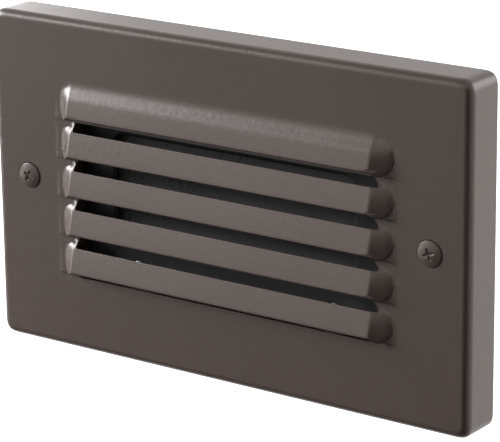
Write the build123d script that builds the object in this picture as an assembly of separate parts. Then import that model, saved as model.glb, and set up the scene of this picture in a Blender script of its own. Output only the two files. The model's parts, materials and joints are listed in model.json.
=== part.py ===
from build123d import *
import os
from math import tan, radians

os.makedirs("parts", exist_ok=True)

# A recessed step light for a single-gang wall box, seen with its front towards -Y.
# X runs along the plate and Z is up. The wall is the plane Y = 0, and the origin
# lies midway between the two box screws. All sizes are in millimetres.

# ---- Faceplate: a rectangular casting with five louvres ----
plate_width = 114.3
plate_height = 69.85
plate_depth = 9.5
plate_wall = 2.5
rim_wall = 3.0
plate_corner_radius = 3.6
front_edge_radius = 2.3
back_edge_radius = 0.5
plate_screw_inset = 8.73
plate_screw_spacing = plate_width - 2 * plate_screw_inset
plate_screw_rise = 0.75
plate_boss_radius = 4.5

louvre_count = 5
louvre_pitch = 8.2
louvre_reach = 2.4
louvre_end_gap = 8.12
louvre_length = plate_screw_spacing - 2 * louvre_end_gap
louvre_field_top = 14.9
first_ramp_height = 6.6
ramp_start_drop = 0.6
lip_end_draft = 2.8
ramp_end_draft = 1.8
ramp_start_reach = 0.05
slot_height = 3.0
slot_end_margin = 3.5
slot_end_radius = 1.2
last_slot_height = 1.2
slot_round_share = 0.45

# ---- Foam gasket let into the back of the faceplate rim ----
rebate_width = 1.4
rebate_depth = 1.5
wall_gasket_width = 2.4
wall_gasket_radius = 1.0

# ---- Faceplate screws: No. 6 shanks with small oval heads and a cross recess ----
oval_head_radius = 2.65
oval_head_dome = 0.7
oval_recess_share = 0.5
countersink_gap = 0.3
countersink_angle = 82.0
number_six_radius = 1.70
shank_hole_clearance = 0.25
screw_tip_setback = 0.35
screw_tip_chamfer = 0.5
retainer_radius = 3.4
retainer_thickness = 0.8
retainer_gap = 0.2
retainer_to_nut_gap = 0.4

# ---- Mounting strap and its hardware ----
strap_end_gap = 1.65
strap_length = plate_width - 2 * (rim_wall + strap_end_gap)
strap_thickness = 1.5
strap_corner_radius = 3.0
box_screw_inset = 6.75
box_screw_spacing = plate_screw_spacing - 2 * box_screw_inset
box_slot_width = 4.0
box_slot_length = 7.0
strap_window_radius = 2.0
strap_side_margin = 2.0
nut_flats = 6.4
nut_sides = 6
nut_height = 2.1
nut_pilot_radius = 2.4
ground_screw_gap = 1.7
ground_screw_drop = 14.0
ground_head_radius = 3.2
ground_head_height = 2.2
ground_screw_length = 6.0

# ---- Lens, its gasket and the bezel that clamps them; the bezel covers the louvre slots' ends ----
lens_thickness = 2.0
lens_end_inset = 3.0
lens_corner_radius = 2.5
lens_edge_chamfer = 0.3
lens_gasket_thickness = 0.8
lens_gasket_width = 2.2
bezel_end_cover = 1.3
bezel_side_band = 7.5
bezel_corner_radius = 3.0
bezel_lip_thickness = 1.3
bezel_lip_width = 2.0
bezel_lip_chamfer = 0.6
lens_side_clearance = 0.3

# ---- Module screws: through bezel and strap into the heat sink housing ----
module_screw_inset_x = 10.0
module_screw_inset_z = 3.8
module_screw_radius = 1.5
module_head_radius = 2.7
module_head_height = 1.8
module_screw_bite = 6.0

# ---- Cast housing: the light bay, the deck behind it and the cooling fins ----
housing_length = 68.0
housing_height = 42.0
housing_wall = 2.0
housing_corner_radius = 3.0
light_bay_depth = 9.0
deck_thickness = 2.5
boss_radius = 3.2
fin_count = 9
fin_pitch = 6.4
fin_thickness = 1.6
fin_height = 1.5
fin_front_margin = 2.0

# ---- Driver case: a tube behind the deck, with a gasket at its front ----
case_depth = 21.7
case_gasket_thickness = 0.8

# ---- Light engine ----
thermal_pad_thickness = 0.5
board_thickness = 1.6
led_board_end_inset = 1.0
led_board_side_inset = 0.5
board_corner_radius = 1.5
chip_rows = 2
chips_per_row = 6
chip_end_margin = 4.5
chip_side_margin = 4.0
chip_length = 3.5
chip_width = 2.8
chip_height = 0.7
small_screw_radius = 1.2
small_head_radius = 2.0
small_head_height = 1.4
led_screw_inset = 2.4
led_screw_bite = 2.0
reflector_end_gap = 3.0
reflector_side_gap = 6.0
reflector_corner_radius = 2.0
reflector_floor_end_inset = 7.0
reflector_floor_side_inset = 5.5
reflector_mouth_end_inset = 0.5
reflector_mouth_side_inset = 0.2
reflector_gap = 0.2
screw_pocket_gap = 0.3

# ---- Pins that carry the current through the deck ----
pin_inset = 1.4
pin_spacing = 2.54
pin_size = 0.64
pin_stub = 0.6
bush_length = 3.2
bush_height = 6.8
bush_tail = 1.5

# ---- Driver ----
driver_post_height = 5.0
driver_post_radius = 2.4
driver_board_end_gap = 5.5
driver_board_side_gap = 2.5
driver_post_inset_x = 3.5
driver_post_inset_z = 3.0
driver_screw_bite = 3.5
insulator_thickness = 0.4
post_hole_gap = 0.3

terminal_inset = 7.0
terminal_length = 8.0
terminal_rise = 9.0
terminal_ways = 3
terminal_pitch = 5.0
terminal_screw_radius = 1.5
terminal_screw_height = 0.8
terminal_entry_radius = 1.3

# Places on the driver board as shares of its length and height, counted from its middle.
fuse_share = (-0.204, 0.288)
varistor_share = (-0.198, 0.015)
film_share = (-0.132, -0.31)
bridge_share = (-0.047, 0.03)
inductor_share = (-0.028, 0.318)
input_cap_share = (0.16, 0.318)
output_cap_share = (0.349, 0.258)
controller_share = (0.07, -0.31)
transformer_share = (0.21, -0.106)

fuse_radius = 4.2
fuse_height = 7.7
varistor_radius = 3.8
varistor_thickness = 3.6
film_length = 13.0
film_width = 5.0
film_height = 11.0
bridge_length = 8.5
bridge_width = 6.5
bridge_height = 3.0
inductor_radius = 4.0
inductor_waist_radius = 3.0
inductor_height = 9.0
inductor_flange = 1.6
input_cap_radius = 4.0
input_cap_height = 13.0
output_cap_radius = 3.15
output_cap_height = 11.0
cap_edge_radius = 0.5
cap_groove_height = 2.0
cap_groove_depth = 0.25
controller_length = 3.9
controller_width = 4.9
controller_height = 1.5
controller_edge = 0.25
core_length = 13.0
core_width = 6.0
core_height = 12.5
core_limb = 2.6
winding_width = 13.0
winding_gap = 0.2

# ---- Rear cover, its gasket and the cable grommet ----
cover_thickness = 2.0
cover_gasket_thickness = 0.8
cover_gasket_width = 3.0
cover_boss_inset = 3.8
cover_screw_bite = 8.0
grommet_bore_radius = 3.2
grommet_neck_radius = 5.4
grommet_flange_radius = 7.4
grommet_inner_radius = 6.6
grommet_flange_thickness = 2.0
grommet_inner_thickness = 1.2

# ---- Shared fits ----
thread_clearance = 0.06
hole_clearance = 0.15
fit_gap = 0.1
cut_margin = 1.0
quarter = 90.0
head_edge_radius = 0.4
recess_share = 0.62
recess_width_share = 0.2
recess_depth_share = 0.6

# ---- Levels along Y, from the front to the back ----
plate_front = -plate_depth
plate_inside = plate_front + plate_wall
strap_front = -strap_thickness
nut_front = strap_front - nut_height
retainer_back = nut_front - retainer_to_nut_gap
retainer_front = retainer_back - retainer_thickness
boss_back = retainer_front - retainer_gap
lens_back = strap_front - lens_gasket_thickness
lens_front = lens_back - lens_thickness
bezel_front = lens_front - bezel_lip_thickness
module_screw_seat = bezel_front + module_head_height + fit_gap
deck_front = light_bay_depth
deck_back = deck_front + deck_thickness
led_board_back = deck_front - thermal_pad_thickness
led_board_front = led_board_back - board_thickness
driver_board_front = deck_back + driver_post_height
driver_board_back = driver_board_front + board_thickness
case_front = deck_back + case_gasket_thickness
case_back = case_front + case_depth
cover_front = case_back + cover_gasket_thickness
cover_back = cover_front + cover_thickness

# ---- Lengths and heights that follow from the housing ----
bay_length = housing_length - 2 * housing_wall
bay_height = housing_height - 2 * housing_wall
slot_length = louvre_length - 2 * slot_end_margin
bezel_length = slot_length + 2 * bezel_end_cover
bezel_height = housing_height
lens_length = housing_length - 2 * lens_end_inset
lens_height = bezel_height - 2 * bezel_side_band
strap_height = housing_height + 2 * strap_side_margin
strap_window_margin = lens_gasket_width + fit_gap
strap_window_length = lens_length - 2 * strap_window_margin
strap_window_height = lens_height - 2 * strap_window_margin
module_screw_spacing_x = housing_length - 2 * module_screw_inset_x
module_screw_spacing_z = housing_height - 2 * module_screw_inset_z
ground_screw_x = bezel_length / 2 + ground_screw_gap + ground_head_radius
reflector_length = bay_length - 2 * reflector_end_gap
reflector_height = bay_height - 2 * reflector_side_gap
reflector_floor_length = reflector_length - 2 * reflector_floor_end_inset
reflector_floor_height = reflector_height - 2 * reflector_floor_side_inset
reflector_mouth_length = strap_window_length - 2 * reflector_mouth_end_inset
reflector_mouth_height = strap_window_height - 2 * reflector_mouth_side_inset
led_board_length = reflector_length - 2 * led_board_end_inset
led_board_height = reflector_height - 2 * led_board_side_inset
led_screw_spacing = led_board_length - 2 * led_screw_inset
chip_pitch = (reflector_floor_length - 2 * chip_end_margin) / (chips_per_row - 1)
chip_row_pitch = (reflector_floor_height - 2 * chip_side_margin) / (chip_rows - 1)
pin_x = reflector_floor_length / 2 - pin_inset
driver_board_length = bay_length - 2 * driver_board_end_gap
driver_board_height = bay_height - 2 * driver_board_side_gap
driver_post_spacing_x = driver_board_length - 2 * driver_post_inset_x
driver_post_spacing_z = driver_board_height - 2 * driver_post_inset_z
terminal_x = terminal_inset - driver_board_length / 2
terminal_height = terminal_ways * terminal_pitch
grommet_x = terminal_x


def slab(profile, front, back):
    """Solid with the given outline in X and Z between two levels of Y."""
    return extrude(Plane.XZ.offset(-back) * profile, amount=back - front)


def rod(x, z, radius, front, back):
    """Round bar along Y."""
    return slab(Pos(x, z) * Circle(radius), front, back)


def block(x, z, length, height, front, back):
    """Rectangular bar along Y."""
    return slab(Pos(x, z) * Rectangle(length, height), front, back)


def plate_shape(length, height, radius, front, back):
    """Rectangular slab with rounded corners, centred on the Y axis."""
    return slab(RectangleRounded(length, height, radius), front, back)


def taper(x, z, front_radius, back_radius, front, back):
    """Cone along Y, with its radius at each end."""
    base = Plane(origin=(x, back, z), x_dir=(1, 0, 0), z_dir=(0, -1, 0))
    low = (Align.CENTER, Align.CENTER, Align.MIN)
    return base * Cone(back_radius, front_radius, back - front, align=low)


def pair(spacing):
    """Both ends of a spacing centred on zero."""
    return (-spacing / 2, spacing / 2)


def corners(spacing_x, spacing_z):
    """The four places of a rectangular pattern centred on the Y axis."""
    return [(x, z) for x in pair(spacing_x) for z in pair(spacing_z)]


def joined(solids):
    """One compound of separate solids."""
    return Compound(children=[solid for shape in solids for solid in shape.solids()])


def cross_recess(x, z, radius, height, face, side, turn=0, share=recess_share):
    """Cross-shaped recess sunk from a head's face; side is -1 for a head that faces the front."""
    span = 2 * radius * share
    width = 2 * radius * recess_width_share
    floor = face - side * height * recess_depth_share
    front, back = sorted((face + side * cut_margin, floor))
    arms = Rectangle(span, width) + Rectangle(width, span)
    return slab(Pos(x, z) * Rot(0, 0, turn) * arms, front, back)


def pan_screw(x, z, seat, length, head_radius, head_height, shank_radius, side=-1):
    """Screw whose head stands on the seat; side is -1 for a head that faces the front."""
    top = seat + side * head_height
    tip = seat - side * length
    head = rod(x, z, head_radius, min(seat, top), max(seat, top))
    rim = head.edges().filter_by(GeomType.CIRCLE).sort_by(Axis.Y)
    head = fillet(rim[0] if side < 0 else rim[-1], min(head_edge_radius, head_height / 2))
    shank = rod(x, z, shank_radius, min(seat, tip), max(seat, tip))
    end = shank.edges().filter_by(GeomType.CIRCLE).sort_by(Axis.Y)
    shank = chamfer(end[-1] if side < 0 else end[0], shank_radius / 4)
    return head + shank - cross_recess(x, z, head_radius, head_height, top, side)


# ---------------------------------------------------------------- faceplate

def lip_height(index):
    """Height of a louvre's lower lip, counted from the top."""
    return louvre_field_top - index * louvre_pitch


def ramp_height(index):
    """Height over which a louvre rises from the plate to its lip."""
    return first_ramp_height if index == 0 else louvre_pitch - ramp_start_drop


def louvre(index, half_length, surface, back):
    """Hood that stands out from a surface, deepest at the lip, with elliptical ends."""

    def outline(height, reach, draft):
        shoulder = half_length - draft
        edges = [
            Line((-half_length, back), (half_length, back)),
            Line((half_length, back), (half_length, surface)),
            EllipticalCenterArc((shoulder, surface), draft, reach, -quarter, arc_size=quarter),
            Line((shoulder, surface - reach), (-shoulder, surface - reach)),
            EllipticalCenterArc((-shoulder, surface), draft, reach, 2 * quarter, arc_size=quarter),
            Line((-half_length, surface), (-half_length, back)),
        ]
        return Pos(0, 0, height) * make_face(Curve() + edges)

    lip = lip_height(index)
    low = outline(lip, louvre_reach, lip_end_draft)
    high = outline(lip + ramp_height(index), ramp_start_reach, ramp_end_draft)
    return loft([low, high], ruled=True)


def louvre_slot(index):
    """Opening right under a louvre's lip; the last one is a narrow drain slot."""
    height = last_slot_height if index == louvre_count - 1 else slot_height
    radius = min(slot_end_radius, height * slot_round_share)
    outline = Pos(0, lip_height(index) - height / 2) * RectangleRounded(slot_length, height, radius)
    return slab(outline, plate_front - louvre_reach - cut_margin, plate_inside + cut_margin)


def countersink_radius():
    """Radius of the countersink at the plate's face."""
    return oval_head_radius + countersink_gap


def countersunk_hole(x):
    """Clearance hole with a conical seat, cut from the plate's face."""
    z = plate_screw_rise
    hole_radius = number_six_radius + shank_hole_clearance
    depth = (countersink_radius() - hole_radius) / tan(radians(countersink_angle / 2))
    seat = taper(x, z, countersink_radius(), hole_radius, plate_front, plate_front + depth)
    mouth = rod(x, z, countersink_radius(), plate_front - cut_margin, plate_front)
    return seat + mouth + rod(x, z, hole_radius, plate_front, boss_back + cut_margin)


def plate_cavity(side_wall, front, back):
    """Slab that stays one side wall inside the plate's edge, corners included."""
    length = plate_width - 2 * side_wall
    height = plate_height - 2 * side_wall
    return plate_shape(length, height, plate_corner_radius - side_wall, front, back)


def make_faceplate():
    body = plate_cavity(0, plate_front, 0)
    body = fillet(body.faces().sort_by(Axis.Y)[0].edges(), front_edge_radius)
    body = fillet(body.faces().sort_by(Axis.Y)[-1].edges(), back_edge_radius)
    body -= plate_cavity(rim_wall, plate_inside, cut_margin)
    body -= plate_cavity(rim_wall - rebate_width, -rebate_depth, cut_margin)
    for index in range(louvre_count):
        body += louvre(index, louvre_length / 2, plate_front, plate_inside)
    for index in range(louvre_count):
        hollow_half = louvre_length / 2 - plate_wall
        body -= louvre(index, hollow_half, plate_inside, plate_inside + cut_margin)
        body -= louvre_slot(index)
    for x in pair(plate_screw_spacing):
        body += rod(x, plate_screw_rise, plate_boss_radius, plate_inside, boss_back)
        body -= countersunk_hole(x)
    return body


def make_wall_gasket():
    side_wall = rim_wall - rebate_width + fit_gap
    outer = plate_cavity(side_wall, -rebate_depth, 0)
    inner_length = plate_width - 2 * (side_wall + wall_gasket_width)
    inner_height = plate_height - 2 * (side_wall + wall_gasket_width)
    front = -rebate_depth - cut_margin
    return outer - plate_shape(inner_length, inner_height, wall_gasket_radius, front, cut_margin)


def make_faceplate_screw(x, turn):
    """Oval-headed screw: domed top, conical underside, plain shank at the thread's outer size."""
    z = plate_screw_rise
    top = plate_front - oval_head_dome
    cone_depth = (oval_head_radius - number_six_radius) / tan(radians(countersink_angle / 2))
    head = taper(x, z, oval_head_radius, number_six_radius, plate_front, plate_front + cone_depth)
    sphere_radius = (oval_head_radius**2 + oval_head_dome**2) / (2 * oval_head_dome)
    ball = Pos(x, top + sphere_radius, z) * Sphere(sphere_radius)
    dome = ball & rod(x, z, oval_head_radius, top, plate_front)
    shank = rod(x, z, number_six_radius, plate_front, -screw_tip_setback)
    tip = shank.edges().filter_by(GeomType.CIRCLE).sort_by(Axis.Y)[-1]
    shank = chamfer(tip, screw_tip_chamfer)
    height = cone_depth + oval_head_dome
    recess = cross_recess(x, z, oval_head_radius, height, top, -1, turn, oval_recess_share)
    return head + dome + shank - recess


def make_screw_retainer(x):
    """Push-on washer that keeps a screw in the faceplate."""
    z = plate_screw_rise
    ring = rod(x, z, retainer_radius, retainer_front, retainer_back)
    return ring - rod(x, z, number_six_radius + thread_clearance, retainer_front, retainer_back)


# ---------------------------------------------------------------- strap

def make_mounting_strap():
    body = plate_shape(strap_length, strap_height, strap_corner_radius, strap_front, 0)
    front, back = strap_front - cut_margin, cut_margin
    body -= plate_shape(strap_window_length, strap_window_height, strap_window_radius, front, back)
    for x in pair(box_screw_spacing):
        body -= slab(Pos(x, 0) * SlotOverall(box_slot_length, box_slot_width), front, back)
    for x in pair(plate_screw_spacing):
        body -= rod(x, plate_screw_rise, nut_pilot_radius + thread_clearance, front, back)
    for x, z in corners(module_screw_spacing_x, module_screw_spacing_z):
        body -= rod(x, z, module_screw_radius + hole_clearance, front, back)
    ground_hole = number_six_radius + thread_clearance
    return body - rod(ground_screw_x, -ground_screw_drop, ground_hole, front, back)


def make_clinch_nuts():
    """Hexagonal nuts pressed into the strap, threaded for the faceplate screws."""
    nuts = []
    z = plate_screw_rise
    for x in pair(plate_screw_spacing):
        hexagon = RegularPolygon(nut_flats / 2, nut_sides, major_radius=False)
        nut = slab(Pos(x, z) * hexagon, nut_front, strap_front)
        nut += rod(x, z, nut_pilot_radius, strap_front, 0)
        nut -= rod(x, z, number_six_radius + thread_clearance, nut_front, 0)
        nuts.append(nut)
    return joined(nuts)


def make_ground_screw():
    return pan_screw(
        ground_screw_x,
        -ground_screw_drop,
        strap_front,
        ground_screw_length,
        ground_head_radius,
        ground_head_height,
        number_six_radius,
    )


# ---------------------------------------------------------------- lens and bezel

def make_lens():
    body = plate_shape(lens_length, lens_height, lens_corner_radius, lens_front, lens_back)
    return chamfer(body.faces().sort_by(Axis.Y)[0].edges(), lens_edge_chamfer)


def make_lens_gasket():
    outer = plate_shape(lens_length, lens_height, lens_corner_radius, lens_back, strap_front)
    inner_length = lens_length - 2 * lens_gasket_width
    inner_height = lens_height - 2 * lens_gasket_width
    return outer - slab(Rectangle(inner_length, inner_height), lens_front, 0)


def make_lens_bezel():
    body = plate_shape(bezel_length, bezel_height, bezel_corner_radius, bezel_front, strap_front)
    pocket_length = lens_length + 2 * lens_side_clearance
    pocket_height = lens_height + 2 * lens_side_clearance
    body -= plate_shape(pocket_length, pocket_height, lens_corner_radius, lens_front, 0)
    window_length = lens_length - 2 * bezel_lip_width
    window_height = lens_height - 2 * bezel_lip_width
    front = bezel_front - cut_margin
    window = plate_shape(window_length, window_height, lens_corner_radius, front, 0)
    body -= window
    mouth = body.faces().sort_by(Axis.Y)[0].inner_wires()[0]
    body = chamfer(mouth.edges(), bezel_lip_chamfer)
    for x, z in corners(module_screw_spacing_x, module_screw_spacing_z):
        body -= rod(x, z, module_screw_radius + hole_clearance, front, 0)
        body -= rod(x, z, module_head_radius + hole_clearance, front, module_screw_seat)
    return body


def make_module_screws():
    length = module_screw_bite - module_screw_seat
    return joined([
        pan_screw(
            x,
            z,
            module_screw_seat,
            length,
            module_head_radius,
            module_head_height,
            module_screw_radius,
        )
        for x, z in corners(module_screw_spacing_x, module_screw_spacing_z)
    ])


# ---------------------------------------------------------------- housing

def cover_screw_places():
    return corners(housing_length - 2 * cover_boss_inset, housing_height - 2 * cover_boss_inset)


def bay_shape(front, back):
    """Inside of the walls between two levels, corners included."""
    inner_radius = housing_corner_radius - housing_wall
    return plate_shape(bay_length, bay_height, inner_radius, front, back)


def make_housing():
    """Cast heat sink: light bay in front, deck with board posts behind, screw bosses and fins."""
    body = plate_shape(housing_length, housing_height, housing_corner_radius, 0, deck_back)
    for index in range(fin_count):
        x = (index - (fin_count - 1) / 2) * fin_pitch
        fin = housing_height + 2 * fin_height
        body += block(x, 0, fin_thickness, fin, fin_front_margin, deck_back)
    post_places = corners(driver_post_spacing_x, driver_post_spacing_z)
    for x, z in post_places:
        body += rod(x, z, driver_post_radius, deck_back, driver_board_front)
    module_places = corners(module_screw_spacing_x, module_screw_spacing_z)
    light_bay = bay_shape(-cut_margin, deck_front)
    for x, z in module_places + cover_screw_places():
        light_bay -= rod(x, z, boss_radius, -cut_margin, deck_front)
    body -= light_bay
    tap = module_screw_radius + thread_clearance
    for x, z in module_places:
        body -= rod(x, z, tap, -cut_margin, module_screw_bite + cut_margin)
    for x, z in cover_screw_places():
        body -= rod(x, z, tap, deck_back - cover_screw_bite - cut_margin, deck_back)
    small_tap = small_screw_radius + thread_clearance
    for x in pair(led_screw_spacing):
        body -= rod(x, 0, small_tap, deck_front, deck_front + led_screw_bite + fit_gap)
    for x, z in post_places:
        tap_bottom = driver_board_front - driver_screw_bite - fit_gap
        body -= rod(x, z, small_tap, tap_bottom, driver_board_front)
    return body - bush_shape(deck_front - cut_margin, deck_back + cut_margin, fit_gap)


def case_section(front, back):
    """Ring as thick as the wall, with a bored boss in each corner for a long cover screw."""
    body = plate_shape(housing_length, housing_height, housing_corner_radius, front, back)
    bay = bay_shape(front, back)
    for x, z in cover_screw_places():
        bay -= rod(x, z, boss_radius, front, back)
    body -= bay
    for x, z in cover_screw_places():
        body -= rod(x, z, module_screw_radius + hole_clearance, front, back)
    return body


def make_driver_case():
    return case_section(case_front, case_back)


def make_case_gasket():
    return case_section(deck_back, case_front)


# ---------------------------------------------------------------- light engine

def bush_shape(front, back, gap):
    """Outline of the insulating bush, grown by a gap on every side."""
    return block(pin_x, 0, bush_length + 2 * gap, bush_height + 2 * gap, front, back)


def pin_holes(front, back):
    """The two square pins, grown by the fit gap, to be cut from what they pass through."""
    size = pin_size + 2 * fit_gap
    return [block(pin_x, z, size, size, front, back) for z in pair(pin_spacing)]


def make_thermal_pad():
    margin = board_corner_radius / 2
    body = slab(
        Rectangle(led_board_length - margin, led_board_height - margin), led_board_back, deck_front
    )
    for x in pair(led_screw_spacing):
        body -= rod(x, 0, small_screw_radius + hole_clearance, led_board_back, deck_front)
    return body - bush_shape(led_board_back, deck_front, fit_gap)


def make_led_board():
    body = plate_shape(
        led_board_length, led_board_height, board_corner_radius, led_board_front, led_board_back
    )
    for x in pair(led_screw_spacing):
        body -= rod(x, 0, small_screw_radius + hole_clearance, led_board_front, led_board_back)
    for hole in pin_holes(led_board_front, led_board_back):
        body -= hole
    return body


def make_led_chips():
    chips = []
    for row in range(chip_rows):
        z = (row - (chip_rows - 1) / 2) * chip_row_pitch
        for column in range(chips_per_row):
            x = (column - (chips_per_row - 1) / 2) * chip_pitch
            front = led_board_front - chip_height
            chips.append(block(x, z, chip_length, chip_width, front, led_board_front))
    return joined(chips)


def make_led_board_screws():
    length = deck_front + led_screw_bite - led_board_front
    return joined([
        pan_screw(
            x,
            0,
            led_board_front,
            length,
            small_head_radius,
            small_head_height,
            small_screw_radius,
        )
        for x in pair(led_screw_spacing)
    ])


def make_reflector():
    """Frame whose funnel widens from the board to the strap's window."""
    body = plate_shape(
        reflector_length, reflector_height, reflector_corner_radius, reflector_gap, led_board_front
    )
    floor = Plane.XZ.offset(-led_board_front) * Rectangle(
        reflector_floor_length, reflector_floor_height
    )
    mouth = Plane.XZ.offset(-reflector_gap) * Rectangle(
        reflector_mouth_length, reflector_mouth_height
    )
    body -= loft([floor, mouth], ruled=True)
    pocket_front = led_board_front - small_head_height - screw_pocket_gap
    for x in pair(led_screw_spacing):
        body -= rod(x, 0, small_head_radius + screw_pocket_gap, pocket_front, led_board_front)
    return body


def make_board_pins():
    front = led_board_front - pin_stub
    back = driver_board_back + pin_stub
    return joined([block(pin_x, z, pin_size, pin_size, front, back) for z in pair(pin_spacing)])


def make_pin_bush():
    back = deck_back + insulator_thickness + bush_tail
    body = bush_shape(led_board_back, back, 0)
    for hole in pin_holes(led_board_back, back):
        body -= hole
    return body


# ---------------------------------------------------------------- driver

def make_driver_insulator():
    """Thin sheet between the deck and the solder side of the driver board."""
    back = deck_back + insulator_thickness
    body = slab(Rectangle(driver_board_length, driver_board_height), deck_back, back)
    for x, z in corners(driver_post_spacing_x, driver_post_spacing_z):
        body -= rod(x, z, driver_post_radius + post_hole_gap, deck_back, back)
    return body - bush_shape(deck_back, back, fit_gap)


def make_driver_board():
    body = plate_shape(
        driver_board_length,
        driver_board_height,
        board_corner_radius,
        driver_board_front,
        driver_board_back,
    )
    for x, z in corners(driver_post_spacing_x, driver_post_spacing_z):
        hole = small_screw_radius + hole_clearance
        body -= rod(x, z, hole, driver_board_front, driver_board_back)
    for hole in pin_holes(driver_board_front, driver_board_back):
        body -= hole
    return body


def make_driver_screws():
    return joined([
        pan_screw(
            x,
            z,
            driver_board_back,
            board_thickness + driver_screw_bite,
            small_head_radius,
            small_head_height,
            small_screw_radius,
            side=1,
        )
        for x, z in corners(driver_post_spacing_x, driver_post_spacing_z)
    ])


def terminal_places():
    return [(way - (terminal_ways - 1) / 2) * terminal_pitch for way in range(terminal_ways)]


def make_terminal_block():
    """Screw terminals, entered from the middle of the board, with screws at the back."""
    back = driver_board_back + terminal_rise
    body = block(terminal_x, 0, terminal_length, terminal_height, driver_board_back, back)
    screw_floor = back - terminal_screw_height - fit_gap
    for z in terminal_places():
        body -= rod(terminal_x, z, terminal_screw_radius + fit_gap, screw_floor, back)
        start = (terminal_x, driver_board_back + terminal_rise / 3, z)
        entry = Plane(origin=start, z_dir=(1, 0, 0)) * Circle(terminal_entry_radius)
        body -= extrude(entry, amount=terminal_length)
    return body


def make_terminal_screws():
    """Slotted clamp screws, sunk in the terminal block."""
    back = driver_board_back + terminal_rise
    screws = []
    for z in terminal_places():
        screw = rod(terminal_x, z, terminal_screw_radius, back - terminal_screw_height, back)
        slot_width = terminal_screw_radius / 3
        slot_floor = back - terminal_screw_height / 2
        screw -= block(terminal_x, z, 2 * terminal_screw_radius, slot_width, slot_floor, back)
        screws.append(screw)
    return joined(screws)


def board_place(share):
    """Place on the driver board that a pair of shares stands for."""
    return share[0] * driver_board_length, share[1] * driver_board_height


def board_block(share, length, width, height):
    """Block that stands on the driver board."""
    x, z = board_place(share)
    return block(x, z, length, width, driver_board_back, driver_board_back + height)


def board_rod(share, radius, height, foot=0):
    """Round body that stands on the driver board, or on a foot above it."""
    x, z = board_place(share)
    front = driver_board_back + foot
    return rod(x, z, radius, front, front + height)


def far_edges(body):
    """Edges of the face that is farthest from the driver board."""
    return body.faces().sort_by(Axis.Y)[-1].edges()


def make_fuse():
    body = board_rod(fuse_share, fuse_radius, fuse_height)
    return fillet(far_edges(body), cap_edge_radius)


def make_varistor():
    """Dipped disc that stands on edge, with its foot on the board."""
    x, z = board_place(varistor_share)
    start = (x - varistor_thickness / 2, driver_board_back + varistor_radius, z)
    circle = Plane(origin=start, z_dir=(1, 0, 0)) * Circle(varistor_radius)
    disc = extrude(circle, amount=varistor_thickness)
    disc = fillet(disc.edges().filter_by(GeomType.CIRCLE), varistor_thickness / 4)
    foot = board_block(varistor_share, varistor_thickness / 2, varistor_radius, varistor_radius)
    return disc + foot


def make_film_capacitor():
    body = board_block(film_share, film_length, film_width, film_height)
    return fillet(far_edges(body), cap_edge_radius)


def make_bridge_rectifier():
    body = board_block(bridge_share, bridge_length, bridge_width, bridge_height)
    return chamfer(far_edges(body), cap_edge_radius)


def make_controller_chip():
    body = board_block(controller_share, controller_length, controller_width, controller_height)
    return chamfer(far_edges(body), controller_edge)


def make_inductor():
    """Bobbin of wire: a waist between two flanges."""
    body = board_rod(inductor_share, inductor_waist_radius, inductor_height)
    body += board_rod(inductor_share, inductor_radius, inductor_flange)
    far_foot = inductor_height - inductor_flange
    return body + board_rod(inductor_share, inductor_radius, inductor_flange, far_foot)


def can_capacitor(share, radius, height):
    """Electrolytic can with a rolled groove near its foot."""
    body = board_rod(share, radius, height)
    body = fillet(far_edges(body), cap_edge_radius)
    groove = 2 * cap_groove_depth
    ring = board_rod(share, radius + cut_margin, groove, cap_groove_height)
    neck = board_rod(share, radius - cap_groove_depth, groove, cap_groove_height)
    return body - (ring - neck)


def make_smoothing_capacitors():
    return joined([
        can_capacitor(input_cap_share, input_cap_radius, input_cap_height),
        can_capacitor(output_cap_share, output_cap_radius, output_cap_height),
    ])


def make_transformer_core():
    """Ferrite core with a middle limb between two windows."""
    body = board_block(transformer_share, core_length, core_width, core_height)
    x, z = board_place(transformer_share)
    window_length = (core_length - 3 * core_limb) / 2
    window_front = driver_board_back + core_limb
    window_back = driver_board_back + core_height - core_limb
    for side in (-1, 1):
        window_x = x + side * (core_limb + window_length) / 2
        body -= block(window_x, z, window_length, winding_width, window_front, window_back)
    return body


def make_transformer_winding():
    """Wound coil that fills the core's windows and wraps round its middle limb."""
    x, z = board_place(transformer_share)
    front = driver_board_back + core_limb + winding_gap
    back = driver_board_back + core_height - core_limb - winding_gap
    length = core_length - 2 * core_limb - 2 * winding_gap
    body = block(x, z, length, winding_width, front, back)
    limb_length = core_limb + 2 * winding_gap
    limb_width = core_width + 2 * winding_gap
    return body - block(x, z, limb_length, limb_width, front, back)


# ---------------------------------------------------------------- rear cover

def make_rear_cover_gasket():
    """Flat ring with a pad round each cover screw."""
    outline = (housing_length, housing_height, housing_corner_radius)
    body = plate_shape(*outline, case_back, cover_front)
    inner_length = housing_length - 2 * cover_gasket_width
    inner_height = housing_height - 2 * cover_gasket_width
    window = slab(Rectangle(inner_length, inner_height), case_back, cover_front)
    for x, z in cover_screw_places():
        window -= rod(x, z, boss_radius, case_back, cover_front)
    body -= window
    for x, z in cover_screw_places():
        body -= rod(x, z, module_screw_radius + hole_clearance, case_back, cover_front)
    return body


def make_rear_cover():
    outline = (housing_length, housing_height, housing_corner_radius)
    body = plate_shape(*outline, cover_front, cover_back)
    for x, z in cover_screw_places():
        body -= rod(x, z, module_screw_radius + hole_clearance, cover_front, cover_back)
    return body - rod(grommet_x, 0, grommet_neck_radius + fit_gap, cover_front, cover_back)


def make_rear_cover_screws():
    """Long screws through the cover and the case into the housing's corners."""
    length = cover_back - deck_back + cover_screw_bite
    return joined([
        pan_screw(
            x,
            z,
            cover_back,
            length,
            module_head_radius,
            module_head_height,
            module_screw_radius,
            side=1,
        )
        for x, z in cover_screw_places()
    ])


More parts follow.
